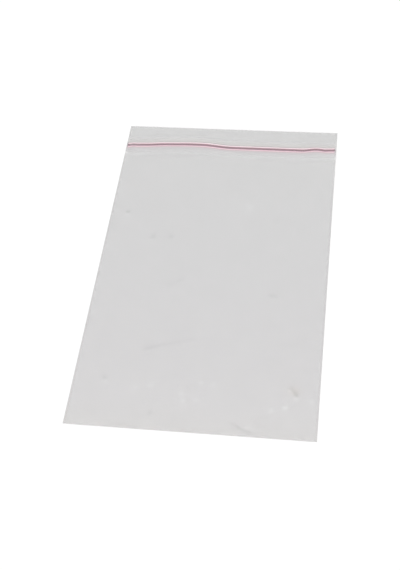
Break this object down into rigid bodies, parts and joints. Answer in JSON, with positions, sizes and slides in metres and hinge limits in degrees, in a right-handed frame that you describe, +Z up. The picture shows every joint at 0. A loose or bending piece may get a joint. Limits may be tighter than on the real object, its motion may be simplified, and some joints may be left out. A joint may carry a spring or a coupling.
{
  "type": "self-seal plastic bag",
  "caption": "Clear plastic film bag, folded at the bottom and welded at both sides, closed near its open mouth by a press-together zip with a red rib; empty and lying flat.",
  "frame": {"origin": "on the underside, under the middle of the bag as it lies", "axes": "+X across the bag, +Y from the bottom fold to the open mouth, +Z up from the surface it lies on"},
  "size_m": [0.15, 0.2504, 0.0042],
  "materials": {
    "clear_film": "clear, slightly hazy blown film",
    "red_polythene": "extruded, satin",
    "clear_polythene": "extruded, clear"
  },
  "bodies": {
    "root": {"bag_film": "clear_film", "rib_strip": "red_polythene", "jaw_strip": "clear_polythene"}
  },
  "joints": []
}
